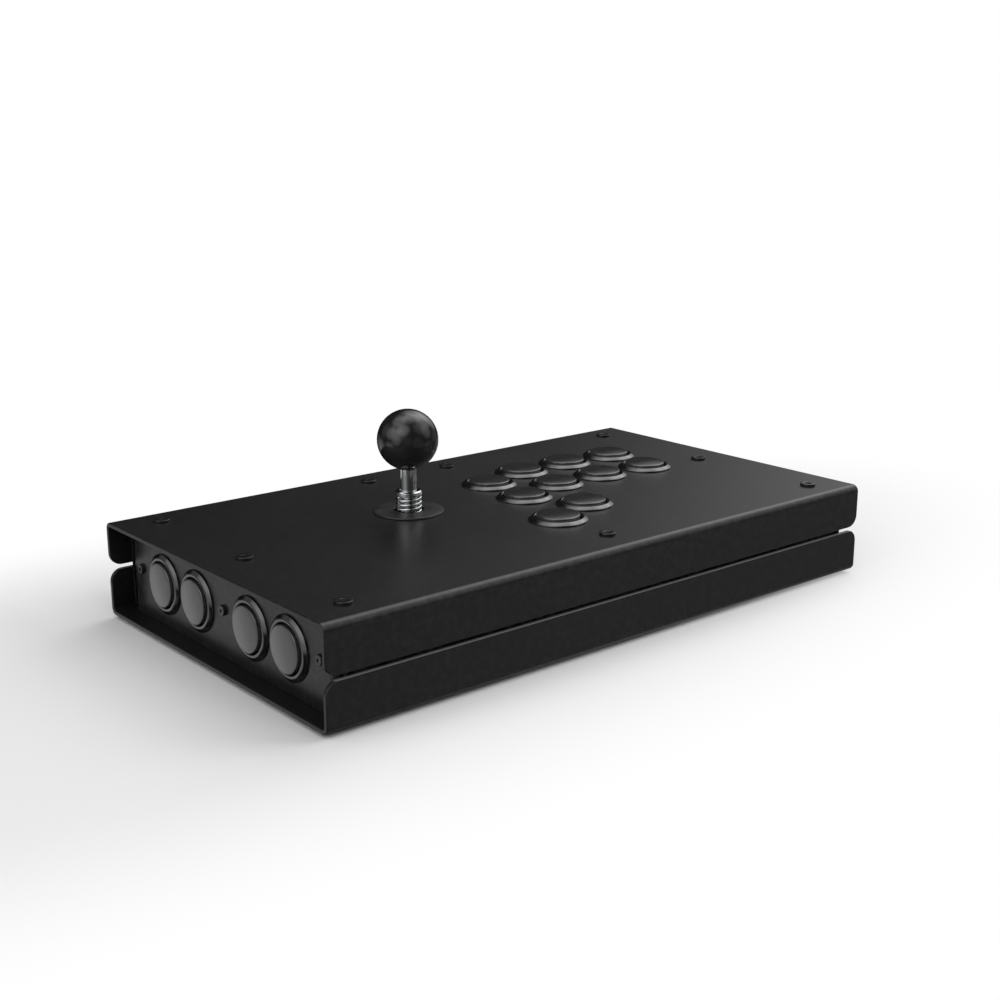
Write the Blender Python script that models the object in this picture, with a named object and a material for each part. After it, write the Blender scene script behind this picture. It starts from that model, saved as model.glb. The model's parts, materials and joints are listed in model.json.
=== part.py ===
"""Arcade joystick panel: a sheet-steel control box with a ball-top lever on the
left, ten push buttons on the right half of the top panel and four option
buttons in the left end plate.

Frame: origin in the middle of the footprint on the table, +X to the player's
right, +Y away from the player, +Z up.  Lengths below are millimetres; every
mesh is written in metres.
"""

import math

import bmesh
import bpy
from mathutils import Matrix, Vector

METRES_PER_MM = 0.001

# ----------------------------------------------------------------------------
# driving dimensions, millimetres
# ----------------------------------------------------------------------------
GAP = 0.3                  # running gap kept between neighbouring pieces

# case: two bent panels, one over the other
CASE_L = 380.0             # along X
CASE_D = 215.0             # along Y
CASE_Z0 = 2.0              # underside of the bottom panel
CASE_H = 53.0              # underside of bottom panel to top of top panel
TOP_Z = CASE_Z0 + CASE_H   # playing surface
MID_Z = CASE_Z0 + CASE_H / 2
SHEET = 2.5                # panel sheet
BEND_R = 4.0               # outer bend radius of both panels
UPPER_FLANGE_Z = 29.9      # lower edge of the top panel's flanges
LOWER_FLANGE_Z = 27.6      # upper edge of the bottom panel's flanges
FLANGE_CORNER_R = 7.0      # rounded free corners of the flanges

FLOOR_Z = CASE_Z0 + SHEET          # upper face of the bottom panel
INNER_Z0 = FLOOR_Z + GAP           # bottom and top of what stands in the case
INNER_Z1 = TOP_Z - SHEET - GAP

# end plates
PLATE_T = 2.0
PLATE_X = 179.7            # outer face of both end plates
PLATE_HALF_Y = 99.6        # outer face of the end plates' return flanges
PLATE_RETURN = 10.0        # return flange length
PLATE_BEND_R = 4.5

# buttons, 30 mm type
HOLE_R = 15.0
BUTTONS = [                # X, Y of the ten top buttons
    (21.5, 35.3), (56.0, 45.8), (92.0, 45.8), (128.3, 43.3),
    (18.3, -0.5), (52.8, 10.1), (88.8, 10.1), (125.1, 7.6),
    (35.3, -33.1), (2.0, -47.7),
]
SIDE_BUTTON_Y = (61.6, 26.4, -26.4, -61.6)

# screws
END_X = 166.4              # X of the screw rows near both ends
CORNER_Y = 88.0            # Y of the screws in the corner posts
TOP_SCREWS = [             # X, Y; left row, three between, right row
    (-END_X, CORNER_Y), (-END_X, 0.0), (-END_X, -CORNER_Y),
    (2.5, -86.0), (-30.0, 87.0), (29.5, 87.0),
    (END_X, CORNER_Y), (END_X, 0.0), (END_X, -CORNER_Y),
]
MIDDLE_SCREWS = TOP_SCREWS[3:6]
END_SCREW_Y = (CORNER_Y, 0.0, -CORNER_Y)
END_SCREW_Z = 30.7
SCREW_SHANK_R = 1.9
END_SHANK_R = 1.5
SCREW_HOLE_R = SCREW_SHANK_R + GAP
END_HOLE_R = END_SHANK_R + GAP
SINK_R = 4.0               # countersinks of the bottom panel

# lever
STICK_X, STICK_Y = -50.5, 18.7
STICK = (STICK_X, STICK_Y)
PANEL_HOLE_R = 12.6
PIVOT_Z = 35.5
STUD_R = 1.9
STUD_Z0 = 41.0
STUDS = [(STICK_X + sx * 20.0, STICK_Y + sy * 40.0) for sx in (-1, 1) for sy in (-1, 1)]

# control board
BOARD_X, BOARD_Y = 66.0, -4.0      # centre
BOARD_L, BOARD_D = 84.0, 50.0      # along X, along Y
BOARD_T = 1.6
BOARD_Z = FLOOR_Z + 6.0            # underside
STANDOFF_INSET = 5.0
STANDOFFS = [(BOARD_X + sx * (BOARD_L / 2 - STANDOFF_INSET),
              BOARD_Y + sy * (BOARD_D / 2 - STANDOFF_INSET))
             for sx in (-1, 1) for sy in (-1, 1)]

# USB socket in the right end plate
SOCKET_Y = 44.0
SOCKET_HOLE_R = 12.0

# sides of round shapes
BUTTON_SEG = 16
LEVER_SEG = 16
HOLE_SEG = 20
SCREW_SEG = 8
HEAD_SEG = 12
STUD_SEG = 10

# ----------------------------------------------------------------------------
# materials
# ----------------------------------------------------------------------------
FINISH = {                 # base colour, roughness, metallic
    "powder": ((0.022, 0.022, 0.023), 0.42, 0.0),
    "inner": ((0.018, 0.018, 0.019), 0.55, 0.0),
    "zinc": ((0.55, 0.56, 0.58), 0.35, 1.0),
    "gloss": ((0.012, 0.012, 0.013), 0.12, 0.0),
    "satin_plastic": ((0.03, 0.03, 0.032), 0.3, 0.0),
    "moulding": ((0.025, 0.025, 0.027), 0.5, 0.0),
    "steel": ((0.75, 0.76, 0.78), 0.12, 1.0),
    "black_screw": ((0.03, 0.03, 0.032), 0.35, 0.9),
    "board": ((0.02, 0.11, 0.05), 0.5, 0.0),
    "rubber": ((0.015, 0.015, 0.015), 0.85, 0.0),
    "nylon": ((0.75, 0.74, 0.70), 0.4, 0.0),
}
SHARP_ANGLE = math.radians(35)     # edges sharper than this are not smoothed


def material(name, colour, roughness, metallic):
    mat = bpy.data.materials.new(name)
    mat.use_nodes = True
    shader = mat.node_tree.nodes["Principled BSDF"]
    shader.inputs["Base Color"].default_value = (*colour, 1.0)
    shader.inputs["Roughness"].default_value = roughness
    shader.inputs["Metallic"].default_value = metallic
    mat.diffuse_color = (*colour, 1.0)
    return mat


def apply_finish(obj, finish):
    """Give the object a material of its own and shade it."""
    obj.data.materials.clear()
    obj.data.materials.append(material(obj.name + "_finish", *FINISH[finish]))
    obj.data.shade_smooth()
    obj.data.set_sharp_from_angle(angle=SHARP_ANGLE)


# ----------------------------------------------------------------------------
# outlines
# ----------------------------------------------------------------------------
def arc(x, y, radius, start, end, steps):
    """Points round (x, y), from start to end degrees."""
    angles = [math.radians(start + (end - start) * k / steps) for k in range(steps + 1)]
    return [(x + radius * math.cos(a), y + radius * math.sin(a)) for a in angles]


def rounded_rect(x, y, width, height, radius, steps=4):
    left, right = x - width / 2 + radius, x + width / 2 - radius
    low, high = y - height / 2 + radius, y + height / 2 - radius
    return (arc(right, high, radius, 0, 90, steps)
            + arc(left, high, radius, 90, 180, steps)
            + arc(left, low, radius, 180, 270, steps)
            + arc(right, low, radius, 270, 360, steps))


def channel_outline(half, web, free_edge, radius, sheet, steps, sign=1):
    """Section (across, depth) of a sheet bent into a U: the outer face of its
    web at depth web, its flanges running to free_edge.  sign is +1 when the
    web has the greater depth, -1 when it has the lesser."""
    across, depth = half - radius, web - sign * radius
    outer = [(half, free_edge)] + arc(across, depth, radius, 0, sign * 90, steps)
    inner = ([(half - sheet, free_edge)]
             + arc(across, depth, radius - sheet, 0, sign * 90, steps))

    def mirrored(points):
        return [(-a, d) for a, d in reversed(points)]

    return outer + mirrored(outer) + list(reversed(inner + mirrored(inner)))


# ----------------------------------------------------------------------------
# shapes added to a bmesh, in millimetres
# ----------------------------------------------------------------------------
def add_turned(shape, profile, segments, centre=(0, 0)):
    """Solid of revolution about a vertical axis; returns its vertices.  Profile
    points are (radius, z); a radius of zero is a pole, and a profile with no
    pole closes on itself."""
    rings = []
    for radius, z in profile:
        if radius <= 1e-9:
            rings.append([shape.verts.new((*centre, z))])
            continue
        angles = [2 * math.pi * k / segments for k in range(segments)]
        rings.append([shape.verts.new((centre[0] + radius * math.cos(a),
                                       centre[1] + radius * math.sin(a), z))
                      for a in angles])
    pairs = list(zip(rings, rings[1:]))
    if len(rings[0]) > 1:
        pairs.append((rings[-1], rings[0]))
    for this, following in pairs:
        for k in range(segments):
            n = (k + 1) % segments
            if len(this) == 1:
                shape.faces.new((this[0], following[k], following[n]))
            elif len(following) == 1:
                shape.faces.new((this[k], this[n], following[0]))
            else:
                shape.faces.new((this[k], this[n], following[n], following[k]))
    return [vert for ring in rings for vert in ring]


def add_cylinder(shape, radius, start, end, segments, centre=(0, 0)):
    """Vertical cylinder between the heights start and end."""
    profile = [(0, start), (radius, start), (radius, end), (0, end)]
    return add_turned(shape, profile, segments, centre)


def add_cylinder_x(shape, radius, start, end, segments, origin, direction):
    """Cylinder along X; start and end are measured from origin, along
    direction (+1 or -1)."""
    turn = Matrix.Rotation(direction * math.radians(90), 4, "Y")
    for vert in add_cylinder(shape, radius, start, end, segments):
        vert.co = turn @ vert.co
        vert.co += Vector(origin)


def add_box(shape, x_range, y_range, z_range):
    """Box between two values on each axis, given in either order."""
    verts = [shape.verts.new((x, y, z)) for x in sorted(x_range)
             for y in sorted(y_range) for z in sorted(z_range)]
    for quad in ((0, 1, 3, 2), (4, 6, 7, 5), (0, 4, 5, 1),
                 (2, 3, 7, 6), (0, 2, 6, 4), (1, 5, 7, 3)):
        shape.faces.new([verts[i] for i in quad])


def add_prism(shape, outline, low, high, axis="z"):
    """Extrude a closed outline.  axis z: outline is (x, y); axis x: (y, z);
    axis y: (x, z)."""
    def point(u, v, along):
        return {"z": (u, v, along), "x": (along, u, v), "y": (u, along, v)}[axis]

    near = [shape.verts.new(point(u, v, low)) for u, v in outline]
    far = [shape.verts.new(point(u, v, high)) for u, v in outline]
    shape.faces.new(near)
    shape.faces.new(list(reversed(far)))
    for k in range(len(outline)):
        n = (k + 1) % len(outline)
        shape.faces.new((near[k], near[n], far[n], far[k]))


# ----------------------------------------------------------------------------
# objects
# ----------------------------------------------------------------------------
def link(name, data, location):
    obj = bpy.data.objects.new(name, data)
    obj.location = Vector(location) * METRES_PER_MM
    bpy.context.scene.collection.objects.link(obj)
    return obj


def solid(name, build, location=(0, 0, 0)):
    """Object whose shape the function build adds to an empty bmesh."""
    shape = bmesh.new()
    build(shape)
    bmesh.ops.recalc_face_normals(shape, faces=shape.faces)
    bmesh.ops.scale(shape, vec=(METRES_PER_MM,) * 3, verts=shape.verts)
    mesh = bpy.data.meshes.new(name)
    shape.to_mesh(mesh)
    shape.free()
    return link(name, mesh, location)


def turned(name, profile, segments, location=(0, 0, 0)):
    return solid(name, lambda shape: add_turned(shape, profile, segments), location)


def prism(name, outline, low, high, axis="z", location=(0, 0, 0)):
    return solid(name, lambda shape: add_prism(shape, outline, low, high, axis), location)


def combine(obj, build, operation):
    """Exact Boolean with a tool built in scene coordinates and then removed."""
    tool = solid(obj.name + "_tool", build)
    mod = obj.modifiers.new("bool", "BOOLEAN")
    mod.operation = operation
    mod.solver = "EXACT"
    mod.object = tool
    bpy.context.view_layer.update()
    graph = bpy.context.evaluated_depsgraph_get()
    mesh = bpy.data.meshes.new_from_object(obj.evaluated_get(graph))
    obj.modifiers.clear()
    obj.data = mesh
    mesh.name = obj.name
    bpy.data.objects.remove(tool, do_unlink=True)


def cut(obj, build):
    combine(obj, build, "DIFFERENCE")


def unite(obj, *builds):
    for build in builds:
        combine(obj, build, "UNION")


def take_mesh(obj):
    """Remove the object and keep its mesh, to be placed several times."""
    mesh = obj.data
    bpy.data.objects.remove(obj, do_unlink=True)
    return mesh


UPRIGHT = (0, 0, 0)
FACING_LEFT = (0, math.radians(-90), 0)    # turns +Z to -X


def place(name, mesh, location, rotation, finish):
    obj = link(name, mesh.copy(), location)
    obj.rotation_euler = rotation
    apply_finish(obj, finish)


for leftover in list(bpy.data.objects):
    bpy.data.objects.remove(leftover, do_unlink=True)


# ----------------------------------------------------------------------------
# sheet-metal case
# ----------------------------------------------------------------------------
def bent_panel(name, web_z, free_edge, sign):
    """Web with a flange at the front and back; sign is +1 for the top panel,
    -1 for the bottom one."""
    section = channel_outline(CASE_D / 2, web_z, free_edge, BEND_R, SHEET, 3, sign)
    panel = prism(name, section, -CASE_L / 2, CASE_L / 2, "x")

    def flange_corners(shape):
        radius, end = FLANGE_CORNER_R, CASE_L / 2
        for side in (-1, 1):
            x, z = side * (end - radius), free_edge + sign * radius
            waste = [(side * (end + 1), z), (side * (end + 1), free_edge - sign),
                     (x, free_edge - sign)]
            waste += arc(x, z, radius, -sign * 90, -sign * 90 + side * sign * 90, 5)
            add_prism(shape, waste, -CASE_D, CASE_D, "y")

    cut(panel, flange_corners)
    return panel


def stick_studs(shape):
    """Four studs that hold the lever's mounting plate below the panel."""
    for stud in STUDS:
        add_cylinder(shape, STUD_R, STUD_Z0, TOP_Z - 1.0, STUD_SEG, stud)


def top_holes(shape):
    end = TOP_Z - 6
    for centre in BUTTONS:
        add_cylinder(shape, HOLE_R, TOP_Z + 2, end, HOLE_SEG, centre)
    add_cylinder(shape, PANEL_HOLE_R, TOP_Z + 2, end, HOLE_SEG, STICK)
    for centre in TOP_SCREWS:
        add_cylinder(shape, SCREW_HOLE_R, TOP_Z + 1, end, SCREW_SEG, centre)


top_panel = bent_panel("top_panel", TOP_Z, UPPER_FLANGE_Z, 1)
unite(top_panel, stick_studs)
cut(top_panel, top_holes)
apply_finish(top_panel, "powder")


def board_standoffs(shape):
    """Four stepped posts; the thin upper part passes through the board."""
    profile = [(0, FLOOR_Z - 1.0), (2.8, FLOOR_Z - 1.0), (2.8, BOARD_Z - GAP),
               (1.3, BOARD_Z - GAP), (1.3, BOARD_Z + 3.0), (0, BOARD_Z + 3.0)]
    for centre in STANDOFFS:
        add_turned(shape, profile, STUD_SEG, centre)


def bottom_holes(shape):
    """Screw holes with 45 degree countersinks from below."""
    profile = [(0, CASE_Z0 - 1), (SINK_R + 1.0, CASE_Z0 - 1),
               (SCREW_HOLE_R, CASE_Z0 + SINK_R - SCREW_HOLE_R),
               (SCREW_HOLE_R, CASE_Z0 + 6), (0, CASE_Z0 + 6)]
    for centre in TOP_SCREWS:
        add_turned(shape, profile, SCREW_SEG, centre)


bottom_panel = bent_panel("bottom_panel", CASE_Z0, LOWER_FLANGE_Z, -1)
unite(bottom_panel, board_standoffs)
cut(bottom_panel, bottom_holes)
apply_finish(bottom_panel, "powder")


def end_plate(name, side, hole_r, hole_ys):
    """C-shaped plate: a web facing the end, with round holes at mid height and
    screw holes, and a return flange at the front and at the back."""
    section = channel_outline(PLATE_HALF_Y, PLATE_X, PLATE_X - PLATE_RETURN,
                              PLATE_BEND_R, PLATE_T, 4)
    plate = prism(name, [(side * depth, across) for across, depth in section],
                  INNER_Z0, INNER_Z1)

    def holes(shape):
        x = side * PLATE_X
        for y in hole_ys:
            add_cylinder_x(shape, hole_r, 3, -5, HOLE_SEG, (x, y, MID_Z), side)
        for y in END_SCREW_Y:
            add_cylinder_x(shape, END_HOLE_R, 1, -5, SCREW_SEG, (x, y, END_SCREW_Z), side)

    cut(plate, holes)
    apply_finish(plate, "powder")


end_plate("left_end_plate", -1, HOLE_R, SIDE_BUTTON_Y)
end_plate("right_end_plate", 1, SOCKET_HOLE_R, (SOCKET_Y,))

# ----------------------------------------------------------------------------
# inner frame: two long rails behind the flanges, six end posts, three middle
# posts and four cross bars, welded into one piece
# ----------------------------------------------------------------------------
FRAME_X = PLATE_X - PLATE_T - GAP          # ends of the rails, outer face of the posts
POST_X0 = END_X - 8.0                      # inner face of the end posts
POST_HALF = 7.0
RAIL_T = 2.0
RAIL_Y1 = CASE_D / 2 - SHEET - GAP
RAIL_Y0 = RAIL_Y1 - RAIL_T
RAIL_Z = (INNER_Z0 + 1.0, INNER_Z1 - 1.0)  # clear of the inside of the bends
POST_Z = (INNER_Z0, INNER_Z1)
BAR_H = 5.0
BAR_INSET = 0.5                            # bars are this much narrower on each side
WELD_LAP = 1.0                             # overlap of welded members
BAR_HALF_Y = CORNER_Y + POST_HALF - WELD_LAP
SCREW_DEPTH = 14


def frame_boxes():
    """X, Y and Z ranges of the frame's members."""
    boxes = [((-FRAME_X, FRAME_X), (side * RAIL_Y0, side * RAIL_Y1), RAIL_Z)
             for side in (-1, 1)]
    rail_lap = RAIL_Y0 + WELD_LAP
    for sx in (-1, 1):
        bar_x = (sx * (POST_X0 + BAR_INSET), sx * (FRAME_X - BAR_INSET))
        post_x = (sx * POST_X0, sx * FRAME_X)
        web_x = (sx * POST_X0, sx * (PLATE_X - PLATE_RETURN - 1.0))
        for bar_z in ((INNER_Z0, INNER_Z0 + BAR_H), (INNER_Z1 - BAR_H, INNER_Z1)):
            boxes.append((bar_x, (-BAR_HALF_Y, BAR_HALF_Y), bar_z))
        boxes.append((post_x, (-POST_HALF, POST_HALF), POST_Z))
        for sy in (-1, 1):
            post_y = (sy * (CORNER_Y - POST_HALF), sy * (CORNER_Y + POST_HALF))
            boxes.append((post_x, post_y, POST_Z))
            # narrower web from the corner post to the rail, beside the end plate's return
            boxes.append((web_x, (sy * BAR_HALF_Y, sy * rail_lap), POST_Z))
    for x, y in MIDDLE_SCREWS:
        sy = 1 if y > 0 else -1
        boxes.append(((x - POST_HALF, x + POST_HALF), (y - sy * POST_HALF, sy * rail_lap), POST_Z))
    return boxes


def frame_holes(shape):
    for centre in TOP_SCREWS:
        for start, end in ((INNER_Z1 + 1, INNER_Z1 - SCREW_DEPTH),
                           (INNER_Z0 - 1, INNER_Z0 + SCREW_DEPTH)):
            add_cylinder(shape, SCREW_HOLE_R, start, end, SCREW_SEG, centre)
    for side in (-1, 1):
        for y in END_SCREW_Y:
            add_cylinder_x(shape, END_HOLE_R, 1, -9, SCREW_SEG,
                           (side * FRAME_X, y, END_SCREW_Z), side)


first_member, *other_members = [lambda shape, box=box: add_box(shape, *box)
                                for box in frame_boxes()]
inner_frame = solid("inner_frame", first_member)
unite(inner_frame, *other_members)
cut(inner_frame, frame_holes)
apply_finish(inner_frame, "inner")

# rubber pad under the case
PAD_L, PAD_D, PAD_T, PAD_R = 310.0, 152.0, 1.7, 8.0
base_pad = prism("base_pad", rounded_rect(0, 0, PAD_L, PAD_D, PAD_R), 0.0, PAD_T)
apply_finish(base_pad, "rubber")


# ----------------------------------------------------------------------------
# screws
# ----------------------------------------------------------------------------
def screw_mesh(head_r, head_h, hex_r, shank_r, length):
    """Socket screw with a low cap head; origin on the face it is driven into."""
    profile = [(0, head_h), (head_r - 0.45, head_h), (head_r - 0.12, head_h - 0.15),
               (head_r, head_h - 0.5), (head_r, GAP),
               (shank_r, GAP), (shank_r, -length), (0, -length)]
    screw = turned("screw_master", profile, HEAD_SEG)
    cut(screw, lambda shape: add_cylinder(shape, hex_r, head_h - 0.9, head_h + 1.0, 6))
    return take_mesh(screw)


TOP_SCREW = screw_mesh(head_r=4.45, head_h=1.5, hex_r=1.75, shank_r=SCREW_SHANK_R, length=10.0)
END_SCREW = screw_mesh(head_r=2.8, head_h=1.5, hex_r=1.2, shank_r=END_SHANK_R, length=8.0)
for n, (x, y) in enumerate(TOP_SCREWS, 1):
    place(f"top_screw_{n}", TOP_SCREW, (x, y, TOP_Z), UPRIGHT, "black_screw")
for n, y in enumerate(END_SCREW_Y, 1):
    place(f"end_screw_{n}", END_SCREW, (-PLATE_X, y, END_SCREW_Z), FACING_LEFT, "black_screw")

# ----------------------------------------------------------------------------
# buttons: housing with its switch, and the plunger that travels in it; the
# origin of both is on the face of the panel
# ----------------------------------------------------------------------------
FLANGE_R = 16.6
BARREL_R = 14.6
BARREL_Z0 = -21.0
BORE_R = 12.6
BORE_Z0 = -11.6
BEZEL_H = 2.15
PLUNGER_R = 12.1
PLUNGER_H = 4.0
PLUNGER_Z0 = -8.6
HOUSING_PROFILE = [        # radius, height
    (0, BORE_Z0), (BORE_R, BORE_Z0), (BORE_R, 1.45), (13.15, 2.12), (14.4, BEZEL_H),
    (15.6, 1.5), (FLANGE_R, 0.7), (FLANGE_R, GAP), (BARREL_R, GAP),
    (BARREL_R, BARREL_Z0), (0, BARREL_Z0),
]
PLUNGER_PROFILE = [        # radius, height
    (0, PLUNGER_H), (6.5, PLUNGER_H - 0.22), (10.9, PLUNGER_H - 0.65),
    (PLUNGER_R, 2.6), (PLUNGER_R, PLUNGER_Z0), (0, PLUNGER_Z0),
]


def switch_block(shape):
    """Switch below the barrel, reaching 1 mm into it."""
    add_box(shape, (-9.9, 9.9), (-3.2, 3.2), (-31.0, BARREL_Z0 + 1.0))


housing = turned("housing_master", HOUSING_PROFILE, BUTTON_SEG)
unite(housing, switch_block)
HOUSING = take_mesh(housing)
PLUNGER = take_mesh(turned("plunger_master", PLUNGER_PROFILE, BUTTON_SEG))


def place_button(prefix, number, location, rotation):
    place(f"{prefix}_housing_{number}", HOUSING, location, rotation, "gloss")
    place(f"{prefix}_plunger_{number}", PLUNGER, location, rotation, "satin_plastic")


for n, (x, y) in enumerate(BUTTONS, 1):
    place_button("button", n, (x, y, TOP_Z), UPRIGHT)
for n, y in enumerate(SIDE_BUTTON_Y, 1):
    place_button("side_button", n, (-PLATE_X, y, MID_Z), FACING_LEFT)

# ----------------------------------------------------------------------------
# lever: fixed pieces, from the mounting plate downwards
# ----------------------------------------------------------------------------
STICK_FOOT = (*STICK, 0)   # origin of the fixed pieces
MOUNT_Z1 = 47.8
MOUNT_Z0 = MOUNT_Z1 - 1.6


def mount_holes(shape):
    start, end = MOUNT_Z1 + 1, MOUNT_Z0 - 1
    add_cylinder(shape, 13.6, start, end, HOLE_SEG, STICK)
    for stud in STUDS:
        add_cylinder(shape, STUD_R + 0.5, start, end, STUD_SEG, stud)


mount_plate = prism("joystick_mount_plate", rounded_rect(0, 0, 53.0, 95.0, 4.0),
                    MOUNT_Z0, MOUNT_Z1, location=STICK_FOOT)
cut(mount_plate, mount_holes)
apply_finish(mount_plate, "zinc")

BODY_Z1, BODY_Z0 = MOUNT_Z0 - GAP, 28.6
BODY_FLANGE_T = 4.0        # of the flange at the top and of the one at the bottom
SOCKET_R = 9.6             # cup of the pivot ball
SOCKET_END_DEG = 52        # the cup ends this far below its equator


def body_barrel(shape):
    add_cylinder(shape, 20.0, BODY_Z0, BODY_Z1 - 2.0, 24, STICK)


def body_lower_flange(shape):
    add_prism(shape, rounded_rect(*STICK, 46.0, 46.0, 4.0, 3), BODY_Z0, BODY_Z0 + BODY_FLANGE_T)


def body_bore(shape):
    """A cup for the pivot ball, opened above for the spring and below for the
    shaft."""
    mouth_r = SOCKET_R * math.cos(math.radians(SOCKET_END_DEG)) + 1.2
    profile = [(0, BODY_Z1 + 1), (13.0, BODY_Z1 + 1), (13.0, 42.5), (SOCKET_R, 39.5)]
    profile += arc(0, PIVOT_Z, SOCKET_R, 0, -SOCKET_END_DEG, 4)
    profile += [(mouth_r, BODY_Z0 - 1.0), (0, BODY_Z0 - 1.0)]
    add_turned(shape, profile, HOLE_SEG, STICK)


body = prism("joystick_body", rounded_rect(0, 0, 50.0, 62.0, 5.0),
             BODY_Z1 - BODY_FLANGE_T, BODY_Z1, location=STICK_FOOT)
unite(body, body_barrel, body_lower_flange)
cut(body, body_bore)
apply_finish(body, "moulding")

SQUARE_OUTLINE = rounded_rect(0, 0, 62.0, 62.0, 3.0)   # switch board and gate
SWITCH_BOARD_Z1 = BODY_Z0 - GAP
SWITCH_BOARD_Z0 = SWITCH_BOARD_Z1 - 1.6
SWITCH_NEAR = 9.6          # inner face of each microswitch from the lever axis
SWITCH_FAR = SWITCH_NEAR + 10.0
SWITCH_HALF = 9.4          # half its length
SWITCH_Z0 = 16.6


def switch_blocks(shape):
    """Four microswitches in a ring round the actuator, one across each side."""
    for c, s in ((1, 0), (0, 1), (-1, 0), (0, -1)):
        add_box(shape,
                (STICK_X + c * SWITCH_NEAR + s * SWITCH_HALF,
                 STICK_X + c * SWITCH_FAR - s * SWITCH_HALF),
                (STICK_Y + s * SWITCH_NEAR - c * SWITCH_HALF,
                 STICK_Y + s * SWITCH_FAR + c * SWITCH_HALF),
                (SWITCH_Z0, SWITCH_BOARD_Z0 + 0.8))


def switch_board_hole(shape):
    add_cylinder(shape, 9.2, SWITCH_BOARD_Z1 + 1, SWITCH_BOARD_Z0 - 1, HOLE_SEG, STICK)


switch_board = prism("joystick_switch_board", SQUARE_OUTLINE,
                     SWITCH_BOARD_Z0, SWITCH_BOARD_Z1, location=STICK_FOOT)
unite(switch_board, switch_blocks)
cut(switch_board, switch_board_hole)
apply_finish(switch_board, "board")

GATE_Z1 = SWITCH_Z0 - GAP
GATE_Z0 = GATE_Z1 - 2.6
GATE_OPENING = 13.2        # square that stops the lower end of the shaft


def gate_hole(shape):
    outline = rounded_rect(*STICK, GATE_OPENING, GATE_OPENING, 0.8, 2)
    add_prism(shape, outline, GATE_Z0 - 1, GATE_Z1 + 1)


gate = prism("restrictor_gate", SQUARE_OUTLINE, GATE_Z0, GATE_Z1, location=STICK_FOOT)
cut(gate, gate_hole)
apply_finish(gate, "nylon")

# ----------------------------------------------------------------------------
# lever: moving pieces.  lever_pivot_axis carries the fore-and-aft hinge and the
# left-and-right hinge, which cross at one point.
# ----------------------------------------------------------------------------
PIVOT_BALL_R = 9.2
PIVOT_BALL_DEG = 30        # the ball is cut flat this far above and below its equator
PIVOT_BORE_R = 5.5
SHAFT_R = 4.5
SHAFT_THIN_R = 3.0         # lower end, and upper end inside the ball top
SHAFT_Z0, SHAFT_Z1 = 12.6, 92.0
BALL_Z = TOP_Z + 41.0
BALL_R = 17.0
BALL_BORE_R = 3.4
BALL_BORE_Z1 = SHAFT_Z1 + 0.6
COLLAR_Z0, COLLAR_Z1, COLLAR_R = TOP_Z + 9.4, TOP_Z + 12.3, 7.45
COLLAR_BORE_R = SHAFT_R + GAP

pivot_axis = link("lever_pivot_axis", None, (*STICK, PIVOT_Z))


def on_lever(obj, finish):
    apply_finish(obj, finish)
    obj.parent = pivot_axis


def lever_turned(name, profile, finish, segments=LEVER_SEG):
    """Turned piece on the lever; profile heights are scene heights."""
    on_lever(turned(name, [(radius, z - PIVOT_Z) for radius, z in profile], segments), finish)


flat = PIVOT_BALL_R * math.sin(math.radians(PIVOT_BALL_DEG))
lever_turned("pivot_ring",
             arc(0, PIVOT_Z, PIVOT_BALL_R, -PIVOT_BALL_DEG, PIVOT_BALL_DEG, 4)
             + [(PIVOT_BORE_R, PIVOT_Z + flat), (PIVOT_BORE_R, PIVOT_Z - flat)], "nylon")

lever_turned("lever_shaft", [
    (0, SHAFT_Z0), (2.6, SHAFT_Z0), (SHAFT_THIN_R, 13.0), (SHAFT_THIN_R, 29.2),
    (SHAFT_R, 29.8), (SHAFT_R, 79.4), (SHAFT_THIN_R, 79.7), (SHAFT_THIN_R, SHAFT_Z1),
    (0, SHAFT_Z1)], "steel")

# the ball ends in a flat, 69 degrees below its equator, bored for the shaft
ball_side = arc(0, BALL_Z, BALL_R, 90, -69, 9)[1:]
lever_turned("ball_top",
             [(0, BALL_Z + BALL_R)] + ball_side
             + [(BALL_BORE_R, ball_side[-1][1]), (BALL_BORE_R, BALL_BORE_Z1), (0, BALL_BORE_Z1)],
             "gloss", segments=24)

lever_turned("spring_collar", [
    (COLLAR_BORE_R, COLLAR_Z0), (COLLAR_R - 0.3, COLLAR_Z0), (COLLAR_R, COLLAR_Z0 + 0.3),
    (COLLAR_R, COLLAR_Z1 - 0.6), (COLLAR_R - 0.6, COLLAR_Z1), (COLLAR_BORE_R, COLLAR_Z1)],
    "steel")

lever_turned("lever_actuator", [
    (3.3, 27.6), (5.6, 27.0), (6.2, 26.4), (6.2, 19.0), (5.6, 18.2), (3.3, 18.2)], "nylon")

SPRING_R, SPRING_WIRE_R, SPRING_PITCH = 6.65, 0.8, 2.5
SPRING_TOP_Z = TOP_Z + 8.3         # centre of the wire at the top end
SPRING_TURNS = 7.4
SPRING_STEPS_PER_TURN = 10
WIRE_SEG = 5


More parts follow.
